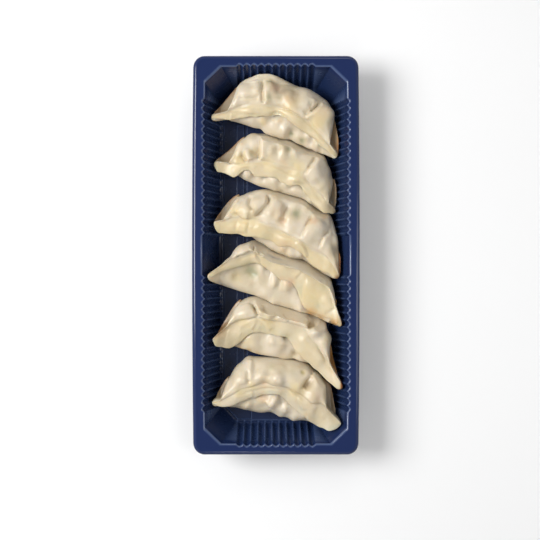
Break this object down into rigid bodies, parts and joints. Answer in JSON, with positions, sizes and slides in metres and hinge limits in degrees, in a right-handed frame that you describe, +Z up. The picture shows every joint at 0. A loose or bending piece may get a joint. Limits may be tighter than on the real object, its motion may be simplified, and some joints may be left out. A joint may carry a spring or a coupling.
{
  "type": "gyoza dumplings in a tray",
  "caption": "Pan-fried gyoza dumplings with pleated fronts and folded seams, lying side by side across a fluted rectangular plastic tray with a flat flange and ribbed floor.",
  "frame": {"origin": "under the middle of the tray, on the surface it stands on", "axes": "+Y along the tray towards its top end in the picture, +X across it, +Z up"},
  "size_m": [0.0988, 0.235, 0.026],
  "materials": {
    "tray_plastic": "glossy dark blue thermoformed sheet",
    "dough": null
  },
  "bodies": {
    "root": {"tray": "tray_plastic", "gyoza_1": "dough", "gyoza_2": "dough", "gyoza_3": "dough", "gyoza_4": "dough", "gyoza_5": "dough", "gyoza_6": "dough"}
  },
  "joints": []
}
